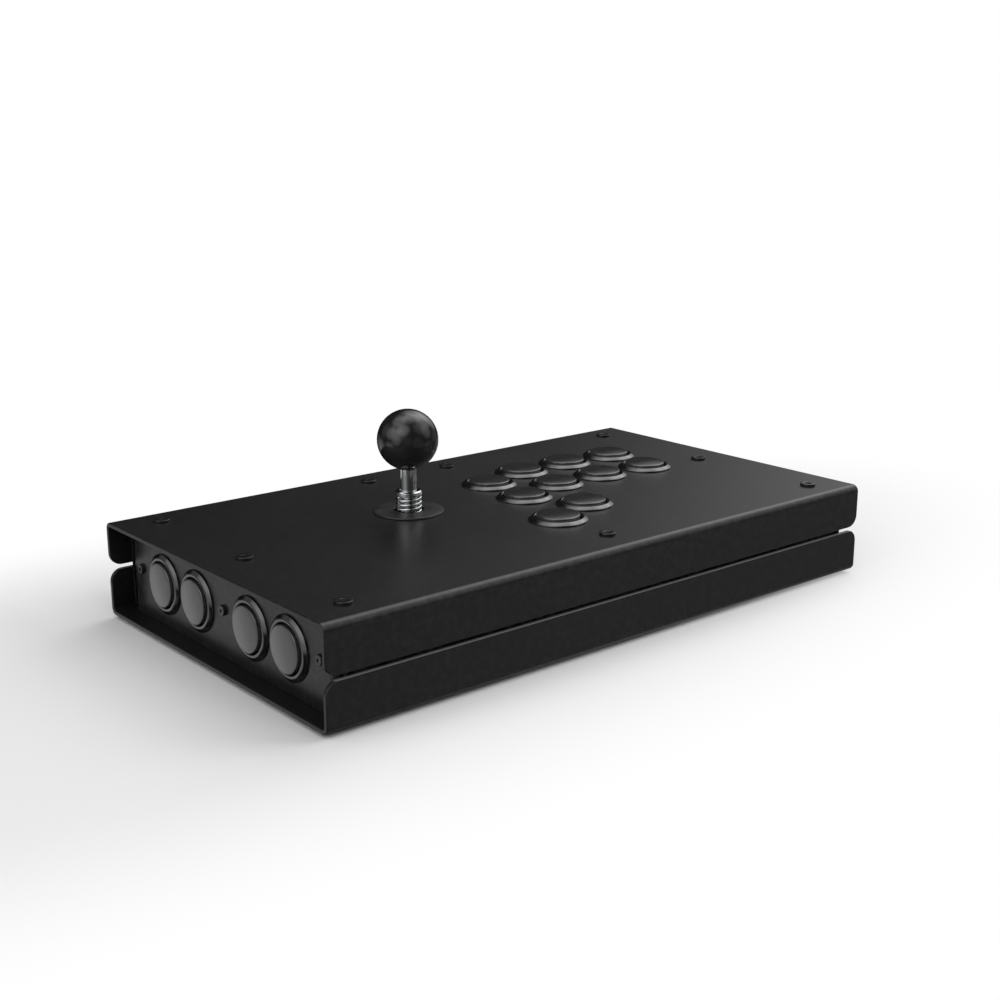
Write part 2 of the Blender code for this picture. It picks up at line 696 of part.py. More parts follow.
def add_coil(shape):
    """Round wire wound downwards on a cylinder, its ends closed flat."""
    slope = SPRING_PITCH / (2 * math.pi * SPRING_R)
    around = [2 * math.pi * m / WIRE_SEG for m in range(WIRE_SEG)]
    rings = []
    for k in range(int(SPRING_STEPS_PER_TURN * SPRING_TURNS) + 1):
        angle = 2 * math.pi * k / SPRING_STEPS_PER_TURN
        z = SPRING_TOP_Z - PIVOT_Z - SPRING_PITCH * k / SPRING_STEPS_PER_TURN
        radial = Vector((math.cos(angle), math.sin(angle), 0))
        along = Vector((-math.sin(angle), math.cos(angle), -slope)).normalized()
        up = radial.cross(along).normalized()
        centre = radial * SPRING_R + Vector((0, 0, z))
        rings.append([shape.verts.new(centre + SPRING_WIRE_R * (math.cos(a) * radial
                                                                + math.sin(a) * up))
                      for a in around])
    for this, following in zip(rings, rings[1:]):
        for m in range(WIRE_SEG):
            n = (m + 1) % WIRE_SEG
            shape.faces.new((this[m], this[n], following[n], following[m]))
    shape.faces.new(rings[0])
    shape.faces.new(list(reversed(rings[-1])))


on_lever(solid("lever_spring", add_coil), "steel")

# ----------------------------------------------------------------------------
# dust washers above and below the top panel
# ----------------------------------------------------------------------------
WASHER_R, WASHER_BORE_R, WASHER_T = 19.8, 8.2, 1.0
LOWER_WASHER_R, LOWER_WASHER_BORE_R = 17.0, 12.2

dust_washer = turned("dust_washer", [
    (WASHER_BORE_R, 0), (WASHER_R - 0.2, 0), (WASHER_R, 0.25),
    (WASHER_R - 0.5, WASHER_T), (WASHER_BORE_R, WASHER_T)], 24, (*STICK, TOP_Z + GAP))
apply_finish(dust_washer, "satin_plastic")

lower_washer = turned("lower_dust_washer", [
    (LOWER_WASHER_BORE_R, 0), (LOWER_WASHER_R, 0),
    (LOWER_WASHER_R, WASHER_T), (LOWER_WASHER_BORE_R, WASHER_T)], 20, (*STICK, MOUNT_Z1 + 0.6))
apply_finish(lower_washer, "satin_plastic")


# ----------------------------------------------------------------------------
# electronics
# ----------------------------------------------------------------------------
def board_parts(shape):
    """A flat square block in the middle, four blocks along the front and four
    along the back edge, and a tall block at the right edge."""
    z = BOARD_Z + 1.0      # sunk into the board
    add_box(shape, (BOARD_X - 7, BOARD_X + 7), (BOARD_Y - 7, BOARD_Y + 7), (z, z + 2.0))
    for k in range(4):
        x = BOARD_X - 32 + 17 * k
        for side in (-1, 1):
            add_box(shape, (x, x + 12), (BOARD_Y + side * 15, BOARD_Y + side * 21), (z, z + 6.0))
    add_box(shape, (BOARD_X + 28, BOARD_X + 42.5), (BOARD_Y - 6, BOARD_Y + 6), (z, z + 9.0))


def board_holes(shape):
    for centre in STANDOFFS:
        add_cylinder(shape, 1.65, BOARD_Z + 3, BOARD_Z - 1, STUD_SEG, centre)


control_board = prism("control_board", rounded_rect(0, 0, BOARD_L, BOARD_D, 2.0, 2),
                      BOARD_Z, BOARD_Z + BOARD_T, location=(BOARD_X, BOARD_Y, 0))
unite(control_board, board_parts)
cut(control_board, board_holes)
apply_finish(control_board, "board")

SOCKET_FACE_X = PLATE_X + 2.3      # outer face of the socket's flange
SOCKET_DEPTH = 24.0
MOUTH_W, MOUTH_H, MOUTH_DEPTH = 9.0, 8.4, 10.0     # plug mouth


def socket_barrel(shape):
    add_cylinder_x(shape, 11.6, -SOCKET_DEPTH, 1.2, 20, (PLATE_X, SOCKET_Y, MID_Z), 1)


def plug_mouth(shape):
    add_box(shape, (SOCKET_FACE_X - MOUTH_DEPTH, PLATE_X + 4.0),
            (SOCKET_Y - MOUTH_W / 2, SOCKET_Y + MOUTH_W / 2),
            (MID_Z - MOUTH_H / 2, MID_Z + MOUTH_H / 2))


usb_socket = prism("usb_socket", rounded_rect(SOCKET_Y, MID_Z, 26.0, 31.0, 4.0, 3),
                   PLATE_X + GAP, SOCKET_FACE_X, "x")
unite(usb_socket, socket_barrel)
cut(usb_socket, plug_mouth)
apply_finish(usb_socket, "moulding")

bpy.context.view_layer.update()
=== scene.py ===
"""Arcade joystick panel: a shallow sheet-metal case with a ball lever and push buttons.

The case lies flat on a rubber pad that stands on z = 0. Its two ends face -X and +X: the left
end (-X) carries the side buttons and the right end (+X) the cable socket. The lever and the
other buttons stand on the top panel, and -Y is the front. Pieces are drawn in millimetres
and scaled to metres; shaders, floor, lights and camera are in metres.
"""
import json
from math import acos, atan2, cos, pi, radians, sin, sqrt, tan

import bmesh
import bpy
from mathutils import Matrix, Vector

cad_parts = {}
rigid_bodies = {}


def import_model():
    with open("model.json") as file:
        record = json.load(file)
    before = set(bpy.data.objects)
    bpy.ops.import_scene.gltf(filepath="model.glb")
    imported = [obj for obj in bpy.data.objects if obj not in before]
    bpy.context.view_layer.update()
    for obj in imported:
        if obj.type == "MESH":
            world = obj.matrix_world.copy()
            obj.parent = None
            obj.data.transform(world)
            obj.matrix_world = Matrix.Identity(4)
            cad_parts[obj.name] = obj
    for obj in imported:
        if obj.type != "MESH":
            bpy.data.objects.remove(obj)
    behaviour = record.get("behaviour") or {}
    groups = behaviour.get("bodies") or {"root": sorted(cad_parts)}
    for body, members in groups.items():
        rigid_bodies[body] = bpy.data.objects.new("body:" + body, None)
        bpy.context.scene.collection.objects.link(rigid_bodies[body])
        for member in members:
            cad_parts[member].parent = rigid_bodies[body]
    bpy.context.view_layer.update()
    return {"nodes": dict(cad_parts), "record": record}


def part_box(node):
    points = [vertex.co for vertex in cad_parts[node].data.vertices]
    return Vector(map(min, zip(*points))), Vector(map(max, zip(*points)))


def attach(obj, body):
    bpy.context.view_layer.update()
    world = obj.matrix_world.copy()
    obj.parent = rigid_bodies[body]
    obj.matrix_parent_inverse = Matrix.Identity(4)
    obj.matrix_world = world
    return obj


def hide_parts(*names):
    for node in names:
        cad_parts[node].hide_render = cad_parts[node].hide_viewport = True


for leftover in list(bpy.data.objects):
    bpy.data.objects.remove(leftover, do_unlink=True)

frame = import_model()
MM = 0.001
NODES = frame["nodes"]


def low(node):
    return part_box(node)[0] / MM


def high(node):
    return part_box(node)[1] / MM


def centre(node):
    lo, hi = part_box(node)
    return (lo + hi) / 2 / MM


def centres(stem, count):
    return [centre(f"{stem}_{n}") for n in range(1, count + 1)]


# ----------------------------------------------------------------------------
# sizes and places read from the frame
# ----------------------------------------------------------------------------
TOP = high("top_panel").z            # upper face of the top panel
CASE_X = high("top_panel").x         # half length of the bent panels
CASE_Y = high("top_panel").y         # half depth of the bent panels
BASE = low("bottom_panel").z         # underside of the bottom panel
LOW_EDGE = high("bottom_panel").z    # upper edge of the bottom panel's flanges
PLATE_X = -low("left_end_plate").x   # outer face of either end plate
PLATE_Y = high("left_end_plate").y
PLATE_BOTTOM = low("left_end_plate").z
PLATE_TOP = high("left_end_plate").z
TOP_SCREWS = centres("top_screw", 9)
END_SCREWS = centres("end_screw", 3)
END_SCREW_Z = END_SCREWS[0].z
BUTTONS = centres("button_housing", 10)
SIDE_BUTTONS = centres("side_button_housing", 4)
MID_Z = SIDE_BUTTONS[0].z            # height of the side buttons and the cable socket
STICK_X, STICK_Y = centre("dust_washer").xy
SOCKET_Y = centre("usb_socket").y
SOCKET_FACE = high("usb_socket").x


# ----------------------------------------------------------------------------
# outlines
# ----------------------------------------------------------------------------
def fillet(points, steps):
    """Open polyline of (r, z) or (r, z, radius) points, its corners rounded by arcs."""
    rounded = []
    for i, point in enumerate(points):
        radius = point[2] if len(point) > 2 else 0.0
        if radius <= 0 or i in (0, len(points) - 1):
            rounded.append(point[:2])
            continue
        corner = Vector(point[:2])
        back = Vector(points[i - 1][:2]) - corner
        ahead = Vector(points[i + 1][:2]) - corner
        back_length, ahead_length = back.length, ahead.length
        back.normalize()
        ahead.normalize()
        angle = acos(max(-1, min(1, back.dot(ahead))))
        if angle > pi - 0.02 or angle < 0.02:
            rounded.append(point[:2])
            continue
        # the arc may use just under half of either neighbouring line
        reach = min(radius / tan(angle / 2), 0.49 * back_length, 0.49 * ahead_length)
        radius = reach * tan(angle / 2)
        start, end = corner + back * reach, corner + ahead * reach
        middle = corner + (back + ahead).normalized() * (radius / sin(angle / 2))
        first = atan2(start.y - middle.y, start.x - middle.x)
        last = atan2(end.y - middle.y, end.x - middle.x)
        sweep = (last - first + pi) % (2 * pi) - pi
        for k in range(steps + 1):
            turn = first + sweep * k / steps
            rounded.append((middle.x + radius * cos(turn), middle.y + radius * sin(turn)))
    return rounded


def rounded_rect(width, height, radius, steps, x=0.0, y=0.0):
    points = []
    for quarter, (side_x, side_y) in enumerate(((1, 1), (-1, 1), (-1, -1), (1, -1))):
        corner_x = x + side_x * (width / 2 - radius)
        corner_y = y + side_y * (height / 2 - radius)
        for k in range(steps + 1):
            angle = radians(90 * quarter + 90 * k / steps)
            points.append((corner_x + radius * cos(angle), corner_y + radius * sin(angle)))
    return points


def channel(half_width, web, free, bend_radius, thickness, sign=1):
    """Sheet bent to a U, as (across, along) points: the web's outer face lies at web and
    the flanges end at free. sign is 1 when the web is on the positive side."""
    outer = [(half_width, free)]
    inner = [(half_width - thickness, free)]
    for points, radius in ((outer, bend_radius), (inner, bend_radius - thickness)):
        for k in range(11):
            angle = radians(90 * k / 10)
            points.append((half_width - bend_radius + radius * cos(angle),
                           web - sign * (bend_radius - radius * sin(angle))))
        points += [(-across, along) for across, along in reversed(points)]
    return outer + inner[::-1]


# ----------------------------------------------------------------------------
# solids, drawn into a bmesh
# ----------------------------------------------------------------------------
def add_turned(bm, profile, segments, x=0, y=0, closed=False, matrix=None):
    """Turn (r, z) points round the upright axis through x, y; closed joins last to first."""
    rings = []
    for r, z in profile:
        if r <= 1e-6:
            rings.append([bm.verts.new((x, y, z))])
            continue
        angles = [2 * pi * k / segments for k in range(segments)]
        rings.append([bm.verts.new((x + r * cos(a), y + r * sin(a), z)) for a in angles])
    pairs = list(zip(rings, rings[1:]))
    if closed:
        pairs.append((rings[-1], rings[0]))
    for a, b in pairs:
        for k in range(segments):
            m = (k + 1) % segments
            if len(a) == 1:
                bm.faces.new((a[0], b[k], b[m]))
            elif len(b) == 1:
                bm.faces.new((a[k], a[m], b[0]))
            else:
                bm.faces.new((a[k], a[m], b[m], b[k]))
    if matrix is not None:
        for ring in rings:
            for vert in ring:
                vert.co = matrix @ vert.co


def add_cylinder(bm, radius, start, end, segments, **placing):
    profile = [(0, start), (radius, start), (radius, end), (0, end)]
    add_turned(bm, profile, segments, **placing)


def add_box(bm, lo, hi):
    verts = [bm.verts.new((x, y, z)) for x in (lo[0], hi[0])
             for y in (lo[1], hi[1]) for z in (lo[2], hi[2])]
    for quad in ((0, 1, 3, 2), (4, 6, 7, 5), (0, 4, 5, 1),
                 (2, 3, 7, 6), (0, 2, 6, 4), (1, 5, 7, 3)):
        bm.faces.new([verts[i] for i in quad])


def add_prism(bm, outline, start, end, axis):
    """Outline pushed from start to end along the axis."""
    def place(u, v, w):
        return {"z": (u, v, w), "x": (w, u, v), "y": (u, w, v)}[axis]
    a = [bm.verts.new(place(u, v, start)) for u, v in outline]
    b = [bm.verts.new(place(u, v, end)) for u, v in outline]
    bm.faces.new(a)
    bm.faces.new(b[::-1])
    for k in range(len(outline)):
        m = (k + 1) % len(outline)
        bm.faces.new((a[k], a[m], b[m], b[k]))


def facing_x(side, x, y, z):
    """Moves a solid to x, y, z and lays its own +Z along +X (side 1) or -X (side -1)."""
    return Matrix.Translation((x, y, z)) @ Matrix.Rotation(side * radians(90), 4, "Y")


# ----------------------------------------------------------------------------
# objects
# ----------------------------------------------------------------------------
def smooth(mesh, sharp_angle):
    mesh.shade_smooth()
    mesh.set_sharp_from_angle(angle=radians(sharp_angle))


def from_mesh(mesh, name, location=(0, 0, 0), rotation=(0, 0, 0)):
    obj = bpy.data.objects.new(name, mesh)
    obj.location = Vector(location) * MM
    obj.rotation_euler = rotation
    bpy.context.scene.collection.objects.link(obj)
    return obj


def new_object(bm, name, location=(0, 0, 0), sharp_angle=35):
    bmesh.ops.recalc_face_normals(bm, faces=bm.faces)
    bmesh.ops.scale(bm, vec=(MM, MM, MM), verts=bm.verts)
    mesh = bpy.data.meshes.new(name)
    bm.to_mesh(mesh)
    bm.free()
    smooth(mesh, sharp_angle)
    return from_mesh(mesh, name, location)


def bake(obj):
    """Apply the modifiers."""
    bpy.context.view_layer.update()
    graph = bpy.context.evaluated_depsgraph_get()
    mesh = bpy.data.meshes.new_from_object(obj.evaluated_get(graph))
    obj.modifiers.clear()
    obj.data = mesh


def boolean(obj, draw, operation="DIFFERENCE"):
    """Cut from the object, or join to it, what draw(bm) adds to a bmesh."""
    bm = bmesh.new()
    draw(bm)
    tool = new_object(bm, obj.name + "_tool")
    modifier = obj.modifiers.new("bool", "BOOLEAN")
    modifier.operation = operation
    modifier.solver = "EXACT"
    modifier.object = tool
    bake(obj)
    bpy.data.objects.remove(tool, do_unlink=True)


def edge_round(obj, width, segments, angle=40, weighted=True):
    bevel = obj.modifiers.new("edge", "BEVEL")
    bevel.width = width * MM
    bevel.segments = segments
    bevel.limit_method = "ANGLE"
    bevel.angle_limit = radians(angle)
    bevel.use_clamp_overlap = False
    bevel.miter_outer = "MITER_ARC"
    bake(obj)
    smooth(obj.data, 50)
    if weighted:
        normals = obj.modifiers.new("weighted", "WEIGHTED_NORMAL")
        normals.keep_sharp = True
        normals.weight = 100
        normals.mode = "FACE_AREA"


# ----------------------------------------------------------------------------
# shader nodes
# ----------------------------------------------------------------------------
class Net:
    """Adds nodes to a tree; an input takes a socket to link or a value to set."""

    def __init__(self, tree, empty=False):
        self.tree = tree
        self.nodes = tree.nodes
        self.x = 0
        if empty:
            self.nodes.clear()

    def feed(self, socket, value):
        if isinstance(value, bpy.types.NodeSocket):
            self.tree.links.new(value, socket)
        elif socket.type == "RGBA":
            socket.default_value = (*value, 1.0)
        else:
            socket.default_value = value

    def add(self, kind, inputs=None, **properties):
        node = self.nodes.new(kind)
        node.location = (self.x, 0)
        self.x += 40
        for name, value in properties.items():
            setattr(node, name, value)
        for name, value in (inputs or {}).items():
            self.feed(node.inputs[name], value)
        return node

    def math(self, operation, a, b):
        return self.add("ShaderNodeMath", {0: a, 1: b}, operation=operation).outputs[0]

    def ramp(self, value, between, to=(0.0, 1.0)):
        """Smooth step: the range between is carried over to the range to, and clamped."""
        return self.add("ShaderNodeMapRange", {
            "Value": value, "From Min": between[0], "From Max": between[1],
            "To Min": to[0], "To Max": to[1]}, interpolation_type="SMOOTHSTEP").outputs["Result"]

    def mix_colour(self, factor, a, b):
        # 6 and 7 are the colour inputs and 2 the colour output
        node = self.add("ShaderNodeMix", data_type="RGBA")
        for index, value in ((0, factor), (6, a), (7, b)):
            self.feed(node.inputs[index], value)
        return node.outputs[2]

    def mix_shader(self, factor, a, b):
        return self.add("ShaderNodeMixShader", {0: factor, 1: a, 2: b}).outputs[0]

    def camera_ray(self):
        return self.add("ShaderNodeLightPath").outputs["Is Camera Ray"]


class Finish(Net):
    """A new material: its principled shader and textures in object coordinates."""

    def __init__(self, name):
        self.material = bpy.data.materials.new(name)
        self.material.use_nodes = True
        super().__init__(self.material.node_tree)
        self.shader = self.nodes["Principled BSDF"]
        self.coords = self.add("ShaderNodeTexCoord").outputs["Object"]

    def surface(self, name, value):
        self.feed(self.shader.inputs[name], value)

    def noise(self, scale, detail, rough, vector=None):
        return self.add("ShaderNodeTexNoise", {
            "Scale": scale, "Detail": detail, "Roughness": rough,
            "Vector": vector or self.coords}).outputs["Fac"]

    def cells(self, scale, **properties):
        return self.add("ShaderNodeTexVoronoi", {"Scale": scale, "Vector": self.coords},
                        feature="F1", **properties).outputs["Distance"]

    def stretched(self, **inputs):
        return self.add("ShaderNodeMapping", {"Vector": self.coords, **inputs}).outputs[0]

    def bump(self, height, strength, distance):
        node = self.add("ShaderNodeBump", {
            "Strength": strength, "Distance": distance, "Height": height})
        self.surface("Normal", node.outputs["Normal"])


# ----------------------------------------------------------------------------
# finishes
# ----------------------------------------------------------------------------
def powder_coat(name, colour=(0.0070, 0.0070, 0.0072), rough=0.33, peel=0.02, specular=0.5,
                painted_highlight_z=None):
    """Powder coat with orange peel, a fine grain, slow roughness drift and edges rubbed
    slightly lighter; when a height is given, a pale band is painted just below it, a painted
    highlight standing in for the sheet's free edge catching light."""
    net = Finish(name)
    orange_peel = net.noise(scale=1300.0, detail=2.0, rough=0.45)
    grain = net.noise(scale=6000.0, detail=1.0, rough=0.5)
    drift = net.noise(scale=14.0, detail=2.0, rough=0.5)
    specks = net.noise(scale=3600.0, detail=0.0, rough=0.5)
    height = net.math("ADD", orange_peel, net.math("MULTIPLY", grain, 0.25))
    net.bump(height, strength=peel, distance=0.00006)
    net.surface("Roughness", net.math(
        "ADD", net.ramp(drift, between=(0.3, 0.7), to=(rough - 0.01, rough + 0.012)),
        net.ramp(specks, between=(0.35, 0.65), to=(-0.006, 0.008))))
    lighter = tuple(channel_value * 1.5 for channel_value in colour)
    coat = net.mix_colour(net.ramp(specks, between=(0.55, 0.75), to=(0.0, 0.5)), colour, lighter)
    pointiness = net.add("ShaderNodeNewGeometry").outputs["Pointiness"]
    edge = net.ramp(pointiness, between=(0.505, 0.56))
    patches = net.noise(scale=260.0, detail=4.0, rough=0.6)
    worn = net.math("MULTIPLY", edge, net.ramp(patches, between=(0.42, 0.66), to=(0.15, 1.0)))
    coat = net.mix_colour(net.math("MULTIPLY", worn, 0.5), coat, (0.05, 0.05, 0.052))
    # painted highlight: just below the given height the coat is painted paler, standing in for
    # light caught on the sheet's free edge
    if painted_highlight_z is not None:
        z = net.add("ShaderNodeSeparateXYZ", {0: net.coords}).outputs["Z"]
        painted_highlight_band = net.ramp(z, between=((painted_highlight_z - 0.40) * MM, (painted_highlight_z - 0.15) * MM))
        painted_highlight_grain = net.ramp(grain, between=(0.3, 0.7), to=(0.9, 1.0))
        coat = net.mix_colour(net.math("MULTIPLY", painted_highlight_band, painted_highlight_grain), coat, (0.13, 0.13, 0.132))
    net.surface("Base Color", coat)
    net.surface("Specular IOR Level", specular)
    return net.material


def moulded(name, colour, rough, scratch=0.02, ior=1.5, mottling=0.15, peel=0.03):
    """Moulded plastic with faint mottling and hairline marks."""
    net = Finish(name)
    mottle = net.noise(scale=120.0, detail=3.0, rough=0.55)
    fine = net.noise(scale=2600.0, detail=2.0, rough=0.5)
    streaks = net.stretched(Scale=(400.0, 9000.0, 2500.0), Rotation=(0.2, 0.5, 0.7))
    hair = net.noise(scale=1.0, detail=2.0, rough=0.6, vector=streaks)
    spread = (rough * (1 - mottling), rough * (1 + mottling))
    net.surface("Roughness", net.math("ADD", net.ramp(mottle, between=(0.3, 0.7), to=spread),
                                      net.ramp(hair, between=(0.62, 0.78), to=(0.0, scratch))))
    net.bump(net.math("ADD", fine, net.math("MULTIPLY", hair, 0.4)),
             strength=peel, distance=0.00004)
    lighter = tuple(channel_value * 1.25 + 0.0008 for channel_value in colour)
    net.surface("Base Color",
                net.mix_colour(net.ramp(mottle, between=(0.25, 0.75)), colour, lighter))
    net.surface("IOR", ior)
    return net.material


def turned_steel(name, colour=(0.82, 0.83, 0.84), rough=0.07, lines=0.04, axis="z"):
    """Bright metal with fine turning lines round the axis."""
    net = Finish(name)
    net.surface("Metallic", 1.0)
    squeezed = net.stretched(Scale=tuple(9000.0 if name == axis else 60.0 for name in "xyz"))
    line = net.noise(scale=1.0, detail=2.0, rough=0.6, vector=squeezed)
    smear = net.noise(scale=180.0, detail=3.0, rough=0.6)
    net.surface("Roughness", net.math(
        "ADD", net.ramp(line, between=(0.3, 0.7), to=(rough, rough + lines)),
        net.ramp(smear, between=(0.45, 0.75), to=(0.0, 0.05))))
    net.bump(line, strength=0.05, distance=0.00002)
    darker = tuple(channel_value * 0.86 for channel_value in colour)
    net.surface("Base Color", net.mix_colour(
        net.ramp(smear, between=(0.3, 0.7), to=(0.0, 0.35)), colour, darker))
    return net.material


def circuit(name):
    """Green board in two tones with pale dots."""
    net = Finish(name)
    blocks = net.cells(260.0, distance="CHEBYCHEV")
    dots = net.cells(420.0)
    traces = net.ramp(blocks, between=(0.40, 0.46))
    via = net.ramp(dots, between=(0.10, 0.13), to=(1.0, 0.0))
    green = net.mix_colour(traces, (0.008, 0.075, 0.03), (0.018, 0.14, 0.055))
    net.surface("Base Color", net.mix_colour(via, green, (0.45, 0.42, 0.30)))
    net.surface("Roughness", 0.35)
    net.bump(traces, strength=0.2, distance=0.00003)
    return net.material


def rubber(name):
    """Matt, porous rubber with some dust."""
    net = Finish(name)
    grain = net.noise(scale=2200.0, detail=3.0, rough=0.6)
    pores = net.cells(900.0)
    net.bump(net.math("ADD", grain, net.math("MULTIPLY", pores, 0.8)),
             strength=0.5, distance=0.00012)
    dust = net.noise(scale=70.0, detail=4.0, rough=0.6)
    net.surface("Base Color", net.mix_colour(
        net.ramp(dust, between=(0.45, 0.75), to=(0.0, 0.6)),
        (0.011, 0.011, 0.011), (0.03, 0.03, 0.031)))
    net.surface("Roughness", net.ramp(grain, between=(0.3, 0.7), to=(0.78, 0.95)))
    return net.material


MATERIALS = {
    "powder_coat": powder_coat("satin_powder_coat"),
    # lower panel's coat, with a painted highlight along the top of its flanges
    "lower_coat_painted_highlight": powder_coat("lower_panel_coat_painted_edge_highlight", painted_highlight_z=LOW_EDGE),
    "end_coat": powder_coat("end_plate_coat", rough=0.30),
    # painted shade: the inner frame is made near black with almost no gloss, darker than the
    # case's coat, so the gap between the panels in front of it reads as black as the shade there
    "frame_black": powder_coat("frame_paint_painted_gap_shade", colour=(0.0015, 0.0015, 0.0015), rough=0.8,
                               peel=0.0, specular=0.04),
    "pad_rubber": rubber("pad_rubber"),
    "button_gloss": moulded("bezel_gloss", colour=(0.006, 0.006, 0.0065), rough=0.11,
                            ior=2.2, peel=0.008, scratch=0.015),
    "plunger_satin": moulded("plunger_satin", colour=(0.026, 0.026, 0.027), rough=0.14,
                             ior=2.1, peel=0.01, mottling=0.10),
    "ball_gloss": moulded("ball_gloss", colour=(0.011, 0.011, 0.0115), rough=0.13,
                          ior=1.72, peel=0.0, mottling=0.08, scratch=0.01),
    "washer_satin": moulded("washer_satin", colour=(0.016, 0.016, 0.017), rough=0.36, peel=0.08),
    "black_moulding": moulded("black_moulding", colour=(0.02, 0.02, 0.022), rough=0.5,
                              peel=0.12),
    "nylon": moulded("natural_nylon", colour=(0.62, 0.60, 0.55), rough=0.42, peel=0.06),
    "black_screw": moulded("black_oxide", colour=(0.009, 0.009, 0.0095), rough=0.24,
                           ior=1.6, peel=0.02),
    "polished_steel": turned_steel("polished_steel"),
    "zinc_plate": turned_steel("zinc_plate", colour=(0.58, 0.60, 0.63), rough=0.28,
                               lines=0.12, axis="x"),
    "circuit_board": circuit("circuit_board"),
    "contact_metal": turned_steel("contact_metal", colour=(0.80, 0.66, 0.38), rough=0.2,
                                  lines=0.08),
}


# ----------------------------------------------------------------------------
# telling the frame about the pieces
# ----------------------------------------------------------------------------
def dress(obj, material):
    obj.data.materials.clear()
    obj.data.materials.append(MATERIALS[material])


def settle(obj, body, *nodes):
    """The piece rides on the body and stands in for the frame's nodes."""
    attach(obj, body)
    if nodes:
        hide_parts(*nodes)


def fit(obj, material, body, *nodes, slot=None):
    dress(obj, material)
    settle(obj, body, *nodes)


def keep_mesh(obj, material):
    """Take the object's mesh, dressed, for copies, and drop the object."""
    mesh = obj.data
    bpy.data.objects.remove(obj, do_unlink=True)
    mesh.materials.clear()
    mesh.materials.append(MATERIALS[material])
    return mesh


def put_copy(mesh, name, location, rotation, slot, body, *nodes, scale=1.0):
    obj = from_mesh(mesh, name, location, rotation)
    obj.scale = (scale, scale, scale)
    settle(obj, body, *nodes)


# every node gets a finish, also the ones that are replaced below
for subpart in frame["record"]["subparts"]:
    dress(NODES[subpart["node"]], subpart["material_slot"])

# ----------------------------------------------------------------------------
# sheet-metal case
# ----------------------------------------------------------------------------
PANEL_SHEET = 2.5
PANEL_BEND = 4.0            # outer bend radius
PANEL_CORNER = 7.0          # radius at the ends of the flanges' free edges
TOP_PANEL_EDGE = 29.9       # lower edge of the top panel's flanges
PLATE_SHEET = 2.0
PLATE_BEND = 4.5
PLATE_RETURN = 10.0         # reach of an end plate's flanges inwards from its face
PLATE_OVERLAP = 0.25        # how far an end plate is lengthened, both up and down
BUTTON_HOLE_R = 15.0
LEVER_HOLE_R = 12.6
SOCKET_HOLE_R = 12.0
TOP_SCREW_HOLE_R = 2.2
END_SCREW_HOLE_R = 1.8
SINK_R = 5.0                # mouth of the sunk screw holes in the underside


def bent_panel(name, web, free, sign):
    """Panel along X with its flanges on the front and back."""
    bm = bmesh.new()
    add_prism(bm, channel(CASE_Y, web, free, PANEL_BEND, PANEL_SHEET, sign),
              -CASE_X, CASE_X, "x")
    panel = new_object(bm, name)

    def corners(bm):
        r = PANEL_CORNER
        for side in (-1, 1):
            x, z = side * (CASE_X - r), free + sign * r
            outline = [(side * (CASE_X + 1), z), (side * (CASE_X + 1), free - sign),
                       (x, free - sign)]
            for k in range(15):
                angle = radians(90 * k / 14)
                outline.append((x + side * r * sin(angle), z - sign * r * cos(angle)))
            add_prism(bm, outline, -CASE_Y - 5, CASE_Y + 5, "y")
    boolean(panel, corners)
    return panel


def top_holes(bm):
    holes = [(p.x, p.y, BUTTON_HOLE_R, 72) for p in BUTTONS]
    holes.append((STICK_X, STICK_Y, LEVER_HOLE_R, 72))
    holes += [(p.x, p.y, TOP_SCREW_HOLE_R, 40) for p in TOP_SCREWS]
    for x, y, radius, segments in holes:
        add_cylinder(bm, radius, TOP - 8, TOP + 4, segments, x=x, y=y)


def bottom_holes(bm):
    profile = [(0, BASE - 1), (SINK_R, BASE - 1), (TOP_SCREW_HOLE_R, BASE + 1.8),
               (TOP_SCREW_HOLE_R, BASE + 8), (0, BASE + 8)]
    for p in TOP_SCREWS:
        add_turned(bm, profile, 40, x=p.x, y=p.y)


def end_holes(bm, side, large_holes):
    """Screw holes, and large holes given as (y, radius)."""
    for p in END_SCREWS:
        add_cylinder(bm, END_SCREW_HOLE_R, 1, -6, 40,
                     matrix=facing_x(side, side * PLATE_X, p.y, END_SCREW_Z))
    for y, radius in large_holes:
        add_cylinder(bm, radius, 3, -6, 72, matrix=facing_x(side, side * PLATE_X, y, MID_Z))


def end_plate(name, side, large_holes):
    """Upright channel whose web closes one end of the case."""
    section = channel(PLATE_Y, PLATE_X, PLATE_X - PLATE_RETURN, PLATE_BEND, PLATE_SHEET)
    bm = bmesh.new()
    add_prism(bm, [(side * x, y) for y, x in section],
              PLATE_BOTTOM - PLATE_OVERLAP, PLATE_TOP + PLATE_OVERLAP, "z")
    plate = new_object(bm, name + "_sheet")
    boolean(plate, lambda bm: end_holes(bm, side, large_holes))
    edge_round(plate, 0.3, 3)
    fit(plate, "end_coat", "case", name, slot="powder_coat")


top_panel = bent_panel("top_panel_sheet", TOP, TOP_PANEL_EDGE, 1)
boolean(top_panel, top_holes)
edge_round(top_panel, 0.55, 4)
fit(top_panel, "powder_coat", "case", "top_panel")

bottom_panel = bent_panel("bottom_panel_sheet", BASE, LOW_EDGE, -1)
boolean(bottom_panel, bottom_holes)
edge_round(bottom_panel, 0.55, 4)
# the lower panel's coat carries a painted highlight along its free edge
fit(bottom_panel, "lower_coat_painted_highlight", "case", "bottom_panel", slot="powder_coat")

end_plate("left_end_plate", -1, [(p.y, BUTTON_HOLE_R) for p in SIDE_BUTTONS])
end_plate("right_end_plate", 1, [(SOCKET_Y, SOCKET_HOLE_R)])

# ----------------------------------------------------------------------------
# pad under the case
# ----------------------------------------------------------------------------
PAD_CORNER = 8.0
PAD_GAP = 0.05              # between the pad and the bottom panel

